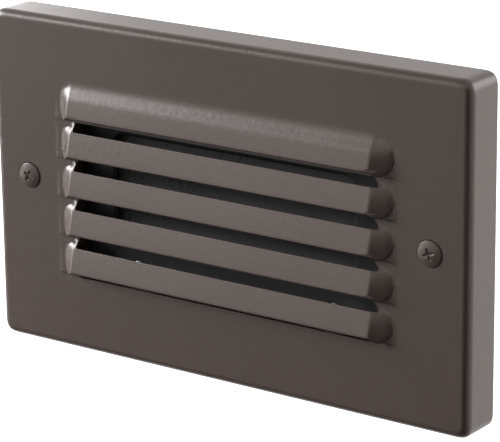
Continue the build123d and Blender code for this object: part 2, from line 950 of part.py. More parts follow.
def make_cable_grommet():
    """Rubber bush with a groove for the cover and a bore for the supply cable."""
    front = cover_front - grommet_inner_thickness
    back = cover_back + grommet_flange_thickness
    body = rod(grommet_x, 0, grommet_neck_radius, front, back)
    body += rod(grommet_x, 0, grommet_inner_radius, front, cover_front)
    body += rod(grommet_x, 0, grommet_flange_radius, cover_back, back)
    return body - rod(grommet_x, 0, grommet_bore_radius, front, back)


left_screw_x, right_screw_x = pair(plate_screw_spacing)
left_recess_turn = 28
right_recess_turn = 20

pieces = {
    "faceplate": make_faceplate(),
    "wall_gasket": make_wall_gasket(),
    "faceplate_screw_left": make_faceplate_screw(left_screw_x, left_recess_turn),
    "faceplate_screw_right": make_faceplate_screw(right_screw_x, right_recess_turn),
    "screw_retainer_left": make_screw_retainer(left_screw_x),
    "screw_retainer_right": make_screw_retainer(right_screw_x),
    "mounting_strap": make_mounting_strap(),
    "clinch_nuts": make_clinch_nuts(),
    "ground_screw": make_ground_screw(),
    "lens": make_lens(),
    "lens_gasket": make_lens_gasket(),
    "lens_bezel": make_lens_bezel(),
    "module_screws": make_module_screws(),
    "housing": make_housing(),
    "driver_case": make_driver_case(),
    "case_gasket": make_case_gasket(),
    "thermal_pad": make_thermal_pad(),
    "led_board": make_led_board(),
    "led_chips": make_led_chips(),
    "led_board_screws": make_led_board_screws(),
    "reflector": make_reflector(),
    "board_pins": make_board_pins(),
    "pin_bush": make_pin_bush(),
    "driver_insulator": make_driver_insulator(),
    "driver_board": make_driver_board(),
    "driver_screws": make_driver_screws(),
    "terminal_block": make_terminal_block(),
    "terminal_screws": make_terminal_screws(),
    "fuse": make_fuse(),
    "varistor": make_varistor(),
    "film_capacitor": make_film_capacitor(),
    "bridge_rectifier": make_bridge_rectifier(),
    "inductor": make_inductor(),
    "smoothing_capacitors": make_smoothing_capacitors(),
    "controller_chip": make_controller_chip(),
    "transformer_core": make_transformer_core(),
    "transformer_winding": make_transformer_winding(),
    "rear_cover_gasket": make_rear_cover_gasket(),
    "rear_cover": make_rear_cover(),
    "rear_cover_screws": make_rear_cover_screws(),
    "cable_grommet": make_cable_grommet(),
}

for name, piece in pieces.items():
    export_step(piece, f"parts/{name}.step")
    print(name, len(piece.solids()), round(piece.volume, 1))
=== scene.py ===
import json
import math

import bmesh
import bpy
import numpy as np
from mathutils import Matrix, Vector


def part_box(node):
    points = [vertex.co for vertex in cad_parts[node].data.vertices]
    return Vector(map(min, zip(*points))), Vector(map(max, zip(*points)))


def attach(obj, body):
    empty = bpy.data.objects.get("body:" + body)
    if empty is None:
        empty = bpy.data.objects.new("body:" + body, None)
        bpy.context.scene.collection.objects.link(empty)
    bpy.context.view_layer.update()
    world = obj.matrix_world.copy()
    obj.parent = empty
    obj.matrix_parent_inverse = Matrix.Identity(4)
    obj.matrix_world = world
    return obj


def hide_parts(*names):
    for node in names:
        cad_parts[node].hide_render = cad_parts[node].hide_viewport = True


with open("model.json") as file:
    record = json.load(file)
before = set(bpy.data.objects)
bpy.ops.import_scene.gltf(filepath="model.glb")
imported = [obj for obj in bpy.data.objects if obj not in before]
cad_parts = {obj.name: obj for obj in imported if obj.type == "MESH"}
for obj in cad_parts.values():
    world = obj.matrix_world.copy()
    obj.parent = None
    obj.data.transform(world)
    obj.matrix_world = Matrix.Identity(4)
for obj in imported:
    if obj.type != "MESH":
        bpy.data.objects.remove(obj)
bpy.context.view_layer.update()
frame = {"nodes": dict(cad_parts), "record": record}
mm = 0.001


# Shader maths: a socket with the arithmetic operators, so that a pattern reads as a formula
class Value:
    def __init__(self, tree, socket):
        self.tree = tree
        self.socket = socket

    def combine(self, operation, first, second):
        # one Math node on two terms, each a socket or a number
        node = self.tree.nodes.new("ShaderNodeMath")
        node.operation = operation
        for place, term in enumerate((first, second)):
            if isinstance(term, Value):
                self.tree.links.new(term.socket, node.inputs[place])
            else:
                node.inputs[place].default_value = term
        return Value(self.tree, node.outputs[0])

    def __add__(self, other):
        return self.combine("ADD", self, other)

    def __radd__(self, other):
        return self.combine("ADD", other, self)

    def __sub__(self, other):
        return self.combine("SUBTRACT", self, other)

    def __rsub__(self, other):
        return self.combine("SUBTRACT", other, self)

    def __mul__(self, other):
        return self.combine("MULTIPLY", self, other)

    def __rmul__(self, other):
        return self.combine("MULTIPLY", other, self)

    def __truediv__(self, other):
        return self.combine("DIVIDE", self, other)

    def __neg__(self):
        return self.combine("MULTIPLY", self, -1)

    def __pow__(self, other):
        return self.combine("POWER", self, other)

    def above(self, limit):
        return self.combine("GREATER_THAN", self, limit)

    def below(self, limit):
        return self.combine("LESS_THAN", self, limit)

    def larger(self, other):
        return self.combine("MAXIMUM", self, other)

    def smaller(self, other):
        return self.combine("MINIMUM", self, other)

    def size(self):
        return self.combine("ABSOLUTE", self, 0)

    def fraction(self):
        return self.combine("FRACT", self, 0)

    def wave(self):
        return self.combine("SINE", self, 0)


# A material under construction: its shader's fixed sockets, then any node by type, settings and inputs
class Finish:
    def __init__(self, name, fixed):
        self.material = bpy.data.materials.new(name)
        self.material.use_nodes = True
        self.tree = self.material.node_tree
        self.shader = self.tree.nodes["Principled BSDF"]
        for socket, value in fixed.items():
            self.shader.inputs[socket].default_value = value

    def node(self, kind, settings=None, inputs=None, output=0):
        # any node: its settings first, then a value or a link for each named input
        made = self.tree.nodes.new("ShaderNode" + kind)
        for key, value in (settings or {}).items():
            setattr(made, key, value)
        for key, value in (inputs or {}).items():
            if isinstance(value, Value):
                self.tree.links.new(value.socket, made.inputs[key])
            else:
                made.inputs[key].default_value = value
        return Value(self.tree, made.outputs[output])

    def place(self, stretch=(1, 1, 1), turn=(0, 0, 0)):
        # the place on the object in metres, stretched and turned
        spot = self.node("TexCoord", output="Object")
        return self.node("Mapping", inputs={"Vector": spot, "Scale": stretch, "Rotation": turn})

    def axis(self, letter, source="TexCoord", output="Object"):
        # one coordinate of the place on the object, in metres, or of the surface's direction
        spot = self.node(source, output=output)
        return self.node("SeparateXYZ", inputs={"Vector": spot}, output=letter)

    def noise(self, perMetre, detail=2.0, stretch=(1, 1, 1)):
        inputs = {"Vector": self.place(stretch), "Scale": perMetre, "Detail": detail}
        return self.node("TexNoise", inputs=inputs, output="Fac")

    def cells(self, perMetre, stretch=(1, 1, 1)):
        inputs = {"Vector": self.place(stretch), "Scale": perMetre}
        return self.node("TexVoronoi", inputs=inputs, output="Distance")

    def mix(self, share, first, second):
        # a colour between two others, each given as three numbers or as a socket
        first, second = (c if isinstance(c, Value) else (*c, 1) for c in (first, second))
        inputs = {0: share, 6: first, 7: second}
        return self.node("Mix", {"data_type": "RGBA"}, inputs, output=2)

    def bump(self, height, distance, under=None):
        # a relief of so many metres, over another one where it is given
        inputs = {"Height": height, "Distance": distance, "Strength": 1.0}
        if under is not None:
            inputs["Normal"] = under
        return self.node("Bump", inputs=inputs)

    def drive(self, **sockets):
        # what changes over the surface, linked into the shader
        names = {"colour": "Base Color", "roughness": "Roughness", "metallic": "Metallic"}
        names |= {"normal": "Normal", "glow": "Emission Color"}
        for key, value in sockets.items():
            self.tree.links.new(value.socket, self.shader.inputs[names[key]])
        return self.material


# The faceplate, one casting with five louvres, worked out in millimetres. A pair that sided reads is for the
# left and right ends, and one that firstAndRest reads is for the first louvre and the others.
faceplate = {
    "wall": 2.5, "rimWall": 3.0, "cornerRadius": 3.6, "cornerPower": 3.2, "cornerSteps": 16,
    "frontRadius": 1.7, "backRadius": 0.35, "rebateWidth": 1.4, "rebateDepth": 1.5,
    "louvres": 5, "pitch": 8.2, "reach": 2.4, "topLip": 14.9, "riseCurve": 0.8, "lipRound": 0.32,
    "rise": (7.7, 7.6), "blend": (4.0, 1.0), "underDrop": 0.02, "hoodWall": 2.3,
    "shoulder": (36.65, 36.05), "foot": (39.5, 40.55), "footMiddle": 2.5, "footTop": 5.9,
    "capCurve": 1.05, "capDrop": 0.95, "capLeast": (1.0, 0.3), "capLean": (0, 0.5), "capMargin": 0.3,
    "droop": 0.7, "droopEnd": 39.4, "liftStart": 38.6, "lift": (0.9, 2.5), "warpAbove": 4.9,
    "padEdge": 41.3, "padStep": 0.12, "padSoft": 0.9, "padDrop": 0.9, "padEnd": 0.3, "padMargin": 0.1,
    "slotHeight": 3.0, "drainHeight": 1.2, "slotHalf": 36.8, "slotShift": 0.75, "slotWindow": 4.4,
    "slotRound": 0.5, "slotTaper": (1.0, 3.0), "slotCurve": 1.5, "slotEase": 1.2, "slotEdge": 0.22,
    "slotFall": 1.2, "barBelowLip": (1.1, 0.5, 0, 0, 0), "slotRoundShare": 0.3,
    "screwX": 48.42, "screwRise": 0.75, "patchHalf": 4.9, "countersink": 2.76, "hole": 1.95,
    "sinkRound": ((0.12, 0), (0.03, 0.03), (-0.08, 0.12)), "sinkDepth": 1.05,
    "bossRadius": 4.5, "bossBack": -5.0, "bossEdge": 0.25,
    "flatHalf": 34, "midStation": 42.4, "evenOver": 1.9, "slack": 0.001,
    "rowSteps": {"top": 5, "ramp": 14, "lip": 5, "under": 3, "slot": 12, "bottom": 6},
    "frontPoints": 14, "backPoints": 5, "slotEdgePoints": 5,
}
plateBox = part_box("faceplate")
cadHalf = (plateBox[1] - plateBox[0]) / 2 / mm
plateFront = plateBox[0].y / mm + faceplate["reach"]


def firstAndRest(key, index):
    # a value that is given for the first louvre and for the others
    return faceplate[key][min(index, 1)]


def sided(key, x):
    # a value that is given for the left end and for the right end
    return np.where(x < 0, *faceplate[key])


def smooth(share):
    # the smooth step 3 s^2 - 2 s^3
    return share * share * (3 - 2 * share)


def lipHeight(index):
    # lip = topLip - index * pitch
    return faceplate["topLip"] - index * faceplate["pitch"]


def slotSize(index):
    # the lowest slot is a narrow drain
    return faceplate["drainHeight"] if index == faceplate["louvres"] - 1 else faceplate["slotHeight"]


def louvreDepth(index, z):
    # depth = reach * (fall / rise)^curve, eased in at the top by a smooth step
    f = faceplate
    rise = firstAndRest("rise", index)
    fall = np.clip(lipHeight(index) + rise - z, 0, rise)
    step = np.clip(fall / firstAndRest("blend", index), 0, 1)
    return f["reach"] * (fall / rise) ** f["riseCurve"] * smooth(step)


def lipShift(x):
    # how far a lip moves up past the shoulder: lift * (1 - sqrt(1 - out^2)) - droop * a half sine,
    # times a smooth step that fades it out a millimetre past the pad's edge
    f = faceplate
    shoulder, foot = sided("shoulder", x), sided("foot", x)
    half = np.clip((np.abs(x) - shoulder) / (f["droopEnd"] - shoulder), 0, 1)
    out = np.clip((np.abs(x) - f["liftStart"]) / (foot - f["liftStart"]), 0, 1)
    back = np.clip((f["padEdge"] + 1 - np.abs(x)) / (f["padEdge"] + 1 - foot), 0, 1)
    rise = sided("lift", x) * (1 - np.sqrt(1 - out**2)) - f["droop"] * np.sin(math.pi * half)
    return rise * smooth(back)


def capShare(index, x, z):
    # (1 - s^curve)^drop from the shoulder to a foot that narrows above its middle as a cubic oval
    f = faceplate
    up = np.clip((z - lipHeight(index) - f["footMiddle"]) / (f["footTop"] - f["footMiddle"]), 0, 1)
    least = sided("shoulder", x) + firstAndRest("capLeast", index)
    foot = least + (sided("foot", x) - least) * (1 - up**3) ** (1 / 3)
    start = sided("shoulder", x) - firstAndRest("capLean", index) * up**6
    s = np.clip((np.abs(x) - start) / (foot - start), 0, 1)
    return (1 - s ** f["capCurve"]) ** f["capDrop"]


def padDepth(x, z):
    # a shallow sawtooth that reaches past the caps to the crease and is deepest just below each lip
    f = faceplate
    fall = f["topLip"] - f["padDrop"] - z
    saw = (fall / f["pitch"]) % 1
    saw = np.where(fall < 0, np.clip(1 + 2 * fall / f["pitch"], 0, 1), saw)
    end = f["padEnd"]
    inside = np.clip((f["louvres"] - 1) * f["pitch"] - fall + end / 2, 0, end) / end
    edge = np.clip((f["padEdge"] - np.abs(x)) / f["padSoft"], 0, 1)
    return f["padStep"] * saw * inside * smooth(edge)


def spread(start, end, count):
    # evenly spaced stations after the first, so that runs can be joined end to end
    return list(np.linspace(start, end, count + 1)[1:])


def fieldColumns():
    # x stations: coarse over the flat middle, fine over the caps, then the screw patch and the border
    f = faceplate
    runs = [
        (f["flatHalf"], 7), (f["slotHalf"], 12), (max(f["foot"]) + f["capMargin"], 20),
        (f["padEdge"] + f["padMargin"], 4), (f["midStation"], 1), (f["screwX"] - f["patchHalf"], 1),
        (f["screwX"] + f["patchHalf"], 8), (cadHalf.x - f["cornerRadius"], 1),
    ]
    half = [0.0]
    for end, count in runs:
        half += spread(half[-1], end, count)
    right = np.array(half)
    return np.concatenate([-right[:0:-1], right])


def fieldRows():
    # each row is (louvre, height, kind, share); kinds follow the casting down: ramp, lip, under, slot
    f = faceplate
    steps = f["rowSteps"]
    edge = cadHalf.z - f["cornerRadius"]
    top = f["topLip"] + firstAndRest("rise", 0)
    rows = [(0, z, "ramp", 0) for z in [edge] + spread(edge, top, steps["top"])]
    for index in range(f["louvres"]):
        lip, height = lipHeight(index), slotSize(index)
        start = rows[-1][1]
        rows += [(index, z, "ramp", 0) for z in spread(start, lip + f["lipRound"], steps["ramp"])]
        rows += [(index, lip, "lip", share) for share in spread(0, 1, steps["lip"])]
        rows += [(index, lip, "under", share) for share in spread(0, 1, steps["under"])]
        foot = lip - height - f["slotEdge"]
        rows += [(index + 1, z, "slot", height) for z in spread(lip, foot, steps["slot"])]
    rows += [(f["louvres"], z, "ramp", 0) for z in spread(rows[-1][1], -edge, steps["bottom"])]
    return rows


def slotInset(z, taper):
    # how far a slot's end draws in: taper * (1 - fall / height)^curve, and a quarter circle at its foot
    f = faceplate
    inset = np.zeros_like(taper)
    for index in range(f["louvres"]):
        lip, height = lipHeight(index), slotSize(index)
        radius = min(f["slotRound"], f["slotRoundShare"] * height)
        down, upTo = lip - z, z - lip + height
        if down < -f["slotEase"] or upTo < 0:
            continue
        share = (1 - down / height) ** f["slotCurve"] if down > 0 else (1 + down / f["slotEase"]) ** 2
        corner = radius - math.sqrt(max(radius**2 - max(radius - upTo, 0) ** 2, 0))
        inset = np.maximum(inset, np.maximum(taper * share * height / f["slotHeight"], corner))
    return inset


def rowDepth(row, x, back):
    # depth and height of one row of the sheet; the back sheet's hoods are narrower by the hood's wall
    f = faceplate
    index, z, kind, share = row
    reachX = x + np.sign(x) * (f["hoodWall"] if back else 0)
    lip = lipHeight(index)
    if kind == "slot":
        weight = max(1 - (lip + f["pitch"] - z) / (share + f["slotEdge"]), 0)
    else:
        weight = float(np.clip(1 - (z - lip) / f["warpAbove"], 0, 1)) if index < f["louvres"] else 0
    shift = lipShift(x) * weight
    turn = share * math.pi / 2
    height = z + (f["lipRound"] if kind in ("lip", "under") else 0)
    deep = np.zeros_like(x)
    if index < f["louvres"]:
        deep = louvreDepth(index, height + np.zeros_like(x)) * capShare(index, reachX, height + shift)
    curl = 0 if back else np.minimum(f["lipRound"], deep)
    if kind == "lip":
        deep, height = deep - curl * (1 - math.cos(turn)), height - f["lipRound"] * math.sin(turn)
    if kind == "under":
        deep, height = (deep - curl) * (1 - share), z - f["underDrop"] * share
    flat = height + shift
    if back:
        # behind, each slot's foot falls away, so that its wall can't be seen from above
        foot = lip + f["pitch"] - f["slotHeight"]
        near = max(1 - abs(z - foot) / (2 * f["slotFall"]), 0) if 0 < index < f["louvres"] else 0
        return deep, flat - f["slotFall"] * near
    return deep + padDepth(x, flat) * (1 - np.clip(deep / f["padStep"], 0, 1)), flat


def fieldSheet(columns, rows, back):
    # one sheet as a grid of points: x across, depth and height from the rows, spread evenly outside the field
    f = faceplate
    edge = cadHalf.z - f["cornerRadius"]
    even = np.linspace(edge, -edge, len(rows))
    points = np.zeros((len(rows), len(columns), 3))
    level = plateFront + (f["wall"] if back else 0)
    away = smooth(np.clip((np.abs(columns) - f["padEdge"] - f["padMargin"]) / f["evenOver"], 0, 1))
    nearEnd = np.clip(1 - np.abs(np.abs(columns) - f["slotHalf"]) / f["slotWindow"], 0, 1)
    for number, row in enumerate(rows):
        inset = slotInset(row[1], sided("slotTaper", columns))
        x = columns + (f["slotShift"] - np.sign(columns) * inset) * nearEnd
        depth, z = rowDepth(row, x, back)
        points[number] = np.stack([x, level - depth, z * (1 - away) + even[number] * away], 1)
    return points


class Shell:
    # gathers grids of points and the faces between them
    merge = {"doubles": 0.002, "slivers": 0.0005}

    def __init__(self):
        self.points = []
        self.faces = []
        self.count = 0

    def add(self, points):
        # takes in a grid of points and gives back their vertex numbers in the same shape
        flat = np.asarray(points, float).reshape(-1, 3)
        start = self.count
        self.points.append(flat)
        self.count += len(flat)
        return start + np.arange(len(flat)).reshape(np.shape(points)[:-1])

    def quads(self, first, second):
        # strip of quads between two rows of vertex numbers
        self.faces += np.stack([first[:-1], first[1:], second[1:], second[:-1]], -1).tolist()

    def grid(self, numbers, keep=None):
        # all quads of a grid of vertex numbers, or those that the mask keeps
        quads = np.stack([numbers[:-1, :-1], numbers[:-1, 1:], numbers[1:, 1:], numbers[1:, :-1]], -1)
        self.faces += (quads.reshape(-1, 4) if keep is None else quads[keep]).tolist()

    def object(self, name, body, node, angle):
        # the finished piece: doubles merged, faces turned outwards, edges past the angle kept sharp
        mesh = bpy.data.meshes.new(name)
        mesh.from_pydata((np.concatenate(self.points) * mm).tolist(), [], self.faces)
        work = bmesh.new()
        work.from_mesh(mesh)
        bmesh.ops.remove_doubles(work, verts=work.verts, dist=self.merge["doubles"] * mm)
        bmesh.ops.dissolve_degenerate(work, edges=work.edges, dist=self.merge["slivers"] * mm)
        bmesh.ops.recalc_face_normals(work, faces=work.faces)
        for face in work.faces:
            face.smooth = True
        openEdges = sum(1 for edge in work.edges if not edge.is_manifold)
        work.to_mesh(mesh)
        work.free()
        mesh.set_sharp_from_angle(angle=math.radians(angle))
        piece = bpy.data.objects.new(name, mesh)
        bpy.context.scene.collection.objects.link(piece)
        weighted = piece.modifiers.new("weightedNormals", "WEIGHTED_NORMAL")
        weighted.keep_sharp = True
        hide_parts(node)
        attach(piece, body)
        print(name, "faces", len(mesh.polygons), "open edges", openEdges)
        return piece


def loopRound(grid):
    # vertex numbers or points round the rim of a grid, clockwise from its first corner, each once
    return np.concatenate([grid[0, :-1], grid[:-1, -1], grid[-1, :0:-1], grid[:0:-1, 0]])


def screwPatch(shell, front, back, frontPoints, centre):
    # rings that run from the square rim of the front sheet through the hole and boss to the back sheet
    f = faceplate
    rim, backRim, around = loopRound(front), loopRound(back), loopRound(frontPoints)
    angle = np.arctan2(around[:, 2] - f["screwRise"], around[:, 0] - centre)
    rings = [(f["countersink"] + wider, plateFront + deeper) for wider, deeper in f["sinkRound"]]
    rings += [
        (f["hole"], plateFront + f["sinkDepth"]),
        (f["hole"], f["bossBack"]), (f["bossRadius"] - f["bossEdge"], f["bossBack"]),
        (f["bossRadius"], f["bossBack"] - f["bossEdge"]), (f["bossRadius"], plateFront + f["wall"]),
    ]
    previous = np.append(rim, rim[0])
    for radius, level in rings:
        x, z = centre + radius * np.cos(angle), f["screwRise"] + radius * np.sin(angle)
        ring = shell.add(np.stack([x, np.full_like(x, level), z], -1))
        ring = np.append(ring, ring[0])
        shell.quads(previous, ring)
        previous = ring
    shell.quads(previous, np.append(backRim, backRim[0]))


def rimProfile():
    # section of the return: flat face, front round, outside, back round, rebate and inside wall
    f = faceplate
    outer, inner = f["cornerRadius"], f["cornerRadius"] - f["rimWall"]
    rebate = inner + f["rebateWidth"]
    turn = np.linspace(0, math.pi / 2, f["frontPoints"])
    front = [
        (outer - f["frontRadius"] * (1 - math.sin(a)), plateFront + f["frontRadius"] * (1 - math.cos(a)))
        for a in turn
    ]
    turn = np.linspace(0, math.pi / 2, f["backPoints"])
    behind = [
        (outer - f["backRadius"] * (1 - math.cos(a)), -f["backRadius"] * (1 - math.sin(a)))
        for a in turn
    ]
    inside = [(rebate, 0), (rebate, -f["rebateDepth"]), (inner, -f["rebateDepth"])]
    inside += [(inner, plateFront + f["wall"]), (0, plateFront + f["wall"])]
    return np.array([(0, plateFront)] + front + behind + inside)


def rimSweep(shell, points):
    # the section carried round the plate; a corner is the curve |cos|^(2/power), |sin|^(2/power)
    steps, power = faceplate["cornerSteps"], faceplate["cornerPower"]
    sides = [
        (points[0, :], 90), (points[:, -1], 0), (points[-1, ::-1], -90), (points[::-1, 0], -180),
    ]
    base, heading = [], []
    for side, angle in sides:
        base.append(side[:, [0, 2]])
        heading.append(np.full(len(side), float(angle)))
        base.append(np.repeat(side[-1:, [0, 2]], steps - 1, 0))
        heading.append(angle - 90 * np.arange(1, steps) / steps)
    base, heading = np.concatenate(base), np.radians(np.concatenate(heading))
    profile = rimProfile()
    outward = np.stack([np.cos(heading), np.sin(heading)], 1)
    outward = np.sign(outward) * np.abs(outward).round(9) ** (2 / power)
    flat = base[:, None] + profile[None, :, :1] * outward[:, None]
    level = np.broadcast_to(profile[None, :, 1], flat.shape[:2])
    numbers = shell.add(np.stack([flat[..., 0], level, flat[..., 1]], -1))
    shell.grid(np.concatenate([numbers, numbers[:1]]))


def makeFaceplate():
    # front and back sheets, joined round the slots and the screw holes, and the return swept round them
    f = faceplate
    columns, rows = fieldColumns(), fieldRows()
    shell = Shell()
    points = [fieldSheet(columns, rows, back) for back in (False, True)]
    front, back = (shell.add(sheet) for sheet in points)
    keep = [np.ones((len(rows) - 1, len(columns) - 1), bool) for _ in points]
    slotColumns = np.flatnonzero(np.abs(columns) <= f["slotHalf"] + f["slack"])
    first, last = slotColumns[0], slotColumns[-1]
    across = np.arange(first, last + 1)
    for index in range(f["louvres"]):
        under = [n for n, row in enumerate(rows) if row[0] == index and row[2] == "under"]
        slot = [n for n, row in enumerate(rows) if row[0] == index + 1 and row[2] == "slot"]
        # the first slots start lower, so that a bar of the wall shows between lip and slot
        bar = sum(rows[n][1] > rows[under[-1]][1] - f["barBelowLip"][index] for n in slot)
        top, behindTop, bottom = under[-1] + bar, slot[bar - 1] if bar else under[0] - 1, slot[-1]
        keep[0][top:bottom, first:last] = False
        keep[1][behindTop:bottom, first:last] = False
        shell.quads(front[top, across], back[behindTop, across])
        edges = [front[bottom, across]]
        for turn in np.linspace(0, math.pi / 2, f["slotEdgePoints"])[1:]:
            curl = points[0][bottom, across].copy()
            curl[:, 1] += f["slotEdge"] * (1 - math.cos(turn))
            curl[:, 2] += f["slotEdge"] * math.sin(turn)
            edges.append(shell.add(curl))
            shell.quads(edges[-2], edges[-1])
        shell.quads(edges[-1], back[bottom, across])
        for column, end in ((first, 0), (last, -1)):
            shell.quads(front[top:bottom + 1, column], back[top:bottom + 1, column])
            if not bar:
                shell.faces.append([front[top, column]] + back[behindTop:top + 1, column].tolist())
            shell.faces.append([row[end] for row in edges] + [back[bottom, column]])
    for side in (-1, 1):
        centre = side * f["screwX"]
        near = np.flatnonzero(np.abs(columns - centre) <= f["patchHalf"] + f["slack"])
        left, right = near[0], near[-1]
        height = points[0][:, left if side > 0 else right, 2]
        level = np.flatnonzero(np.abs(height - f["screwRise"]) <= f["patchHalf"])
        upper, lower = level[0], level[-1]
        window = (slice(upper, lower + 1), slice(left, right + 1))
        for mask in keep:
            mask[upper:lower, left:right] = False
        screwPatch(shell, front[window], back[window], points[0][window], centre)
    shell.grid(front, keep[0])
    shell.grid(back, keep[1])
    rimSweep(shell, points[0])
    return shell.object("faceplate_casting", "faceplate", "faceplate", angle=35)


# the slot of each CAD node, and the new pieces that wear each slot
slotOf = {part["node"]: part["material_slot"] for part in frame["record"]["subparts"]}
pieces = {"bronze_coat": [makeFaceplate()]}
print("faceplate made")


# The screws: each a head with a soft cross recess and a helical thread, one piece for each node.
# Sizes are millimetres, turns are degrees, and a cone is the countersunk part under an oval head.
ovalHead = {
    "slot": "bronze_screw", "head": 2.65, "dome": 0.5, "tall": 0.7, "edge": 0.2, "cone": 1.09,
    "shank": 1.7, "pitch": 0.79, "cross": 1.25, "arm": 0.66, "sink": 0.36,
}
wideHead = {
    "body": "module", "slot": "steel_screw", "head": 2.7, "dome": 0.25, "tall": 1.8, "edge": 0.45,
    "cone": 0, "shank": 1.5, "pitch": 0.5, "cross": 1.65, "arm": 0.85, "sink": 1.0,
}
smallHead = {
    "body": "module", "slot": "steel_screw", "head": 2.0, "dome": 0.2, "tall": 1.4, "edge": 0.35,
    "cone": 0, "shank": 1.2, "pitch": 0.45, "cross": 1.2, "arm": 0.6, "sink": 0.8,
}
groundHead = {
    "body": "module", "slot": "green_screw", "head": 3.2, "dome": 0.25, "tall": 2.2, "edge": 0.5,
    "cone": 0, "shank": 1.7, "pitch": 0.79, "cross": 1.95, "arm": 0.9, "sink": 1.2,
}
screws = {
    "faceplate_screw_left": ovalHead | {"body": "screw_left", "turn": -28},
    "faceplate_screw_right": ovalHead | {"body": "screw_right", "turn": 20},
    "module_screws": wideHead | {"turn": 33},
    "rear_cover_screws": wideHead | {"turn": 12, "facesBack": True, "threadLength": 9.0},
    "led_board_screws": smallHead | {"turn": 8},
    "driver_screws": smallHead | {"turn": 51, "facesBack": True},
    "ground_screw": groundHead | {"turn": 40},
}
thread = {"around": 72, "depth": 0.24, "rowsPerTurn": 8, "runIn": 12, "tip": 0.5, "tipDraw": 0.45}
headShape = {"points": 22, "edgePoints": 6, "flatDome": 0.8, "ovalLift": 0.6, "leastSide": 0.02}
recess = {"width": 1.15, "narrowing": 0.4, "wall": 0.45, "middle": 1.15, "shallowing": 0.5, "within": 0.6}


def crossSink(kind, radius, angle):
    # recess = sink * smooth step of the way in from the edge of two crossed bars that narrow outwards
    turned = angle - math.radians(kind["turn"])
    along, beside = np.abs(radius * np.cos(turned)), np.abs(radius * np.sin(turned))
    half = kind["arm"] / 2

    def bar(reach, offset):
        # below zero inside one bar of the cross
        width = half * (recess["width"] - recess["narrowing"] * reach / kind["cross"])
        return np.maximum(offset - width, reach - kind["cross"])

    edge = np.minimum(bar(along, beside), bar(beside, along))
    step = np.clip(-edge / (recess["wall"] * half), 0, 1)
    floor = np.clip(recess["middle"] - recess["shallowing"] * radius / kind["cross"], 0, 1)
    return kind["sink"] * floor * smooth(step)


def screwRows(kind, length):
    # (radius, depth from the top, thread share) down the screw: head, edge round, seat, thread, tip
    head, edge, shank = kind["head"], kind["edge"], kind["shank"]
    inner = np.linspace(0, head - edge, headShape["points"])
    rise = kind["dome"] * (inner / (head - edge)) ** 2 * (1 if kind["cone"] else headShape["flatDome"])
    lift = edge * headShape["ovalLift"] if kind["cone"] else 0
    rows = [(r, max(y - lift * (r / head) ** 2, 0), 0) for r, y in zip(inner, rise)]
    start = rows[-1][1]
    for turn in np.linspace(0, math.pi / 2, headShape["edgePoints"])[1:]:
        rows.append((head - edge * (1 - math.sin(turn)), start + edge * (1 - math.cos(turn)), 0))
    seat = kind["tall"] + kind["cone"]
    side = max(kind["tall"], rows[-1][1] + headShape["leastSide"])
    rows += [(head, side, 0), (shank, seat, 0)]
    threadStart = max(seat, length - kind.get("threadLength", length))
    rows.append((shank, threadStart, 0))
    run = length - thread["tip"] - threadStart
    steps = int(run / kind["pitch"] * thread["rowsPerTurn"])
    ways = np.linspace(0, 1, steps)[1:]
    rows += [(shank, threadStart + run * way, min(1, thread["runIn"] * way)) for way in ways]
    return np.array(rows + [(shank - thread["tipDraw"], length, 0), (0, length, 0)])


def makeScrews(node, kind):
    # radius = profile - thread depth * triangle wave of (depth / pitch - turn), set down at each place
    low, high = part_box(node)
    low, high = np.array(low) / mm, np.array(high) / mm
    facesBack = kind.get("facesBack", False)
    top, inward = (high[1], -1) if facesBack else (low[1], 1)
    radius, depth, share = screwRows(kind, high[1] - low[1])[:, :, None].transpose(1, 0, 2)
    angle = np.linspace(0, 2 * math.pi, thread["around"] + 1)[None]
    phase = np.abs((depth / kind["pitch"] - angle / (2 * math.pi)) % 1 * 2 - 1)
    ridge = radius - thread["depth"] * share * phase
    sunk = depth < kind["tall"] * recess["within"]
    deep = depth + np.where(sunk, crossSink(kind, radius, angle), 0)
    shell = Shell()
    for x in sorted({round(low[0] + kind["head"], 2), round(high[0] - kind["head"], 2)}):
        for z in sorted({round(low[2] + kind["head"], 2), round(high[2] - kind["head"], 2)}):
            ring = [x + ridge * np.cos(angle), top + inward * deep + 0 * angle, z + ridge * np.sin(angle)]
            shell.grid(shell.add(np.stack(ring, -1)))
    return shell.object(node + "_turned", kind["body"], node, angle=40)


for node, kind in screws.items():
    pieces.setdefault(kind["slot"], []).append(makeScrews(node, kind))
print("screws made")


# Cast and pressed parts keep their CAD shape and get broken edges, in millimetres
softEdges = {
    "mounting_strap": 0.12, "lens_bezel": 0.2, "housing": 0.25, "driver_case": 0.3, "rear_cover": 0.3,
    "cable_grommet": 0.25, "terminal_block": 0.15, "film_capacitor": 0.3, "transformer_winding": 0.4,
}
softening = {"merge": 0.001, "flatAngle": 0.5, "sharpAngle": 30, "bevelAngle": 35}


def soften(node, width):
    # a merged copy of the node's own mesh whose flat faces are whole again, with a narrow live bevel
    mesh = frame["nodes"][node].data.copy()
    mesh.materials.clear()
    work = bmesh.new()
    work.from_mesh(mesh)
    bmesh.ops.remove_doubles(work, verts=work.verts, dist=softening["merge"] * mm)
    flat = math.radians(softening["flatAngle"])
    bmesh.ops.dissolve_limit(work, angle_limit=flat, verts=work.verts, edges=work.edges)
    for face in work.faces:
        face.smooth = True
    work.to_mesh(mesh)
    work.free()
    mesh.set_sharp_from_angle(angle=math.radians(softening["sharpAngle"]))
    piece = bpy.data.objects.new(node + "_softened", mesh)
    bpy.context.scene.collection.objects.link(piece)
    bevel = piece.modifiers.new("brokenEdges", "BEVEL")
    bevel.width = width * mm
    bevel.segments = 2
    bevel.limit_method = "ANGLE"
    bevel.angle_limit = math.radians(softening["bevelAngle"])
    bevel.harden_normals = True
    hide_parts(node)
    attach(piece, "module")
    return piece


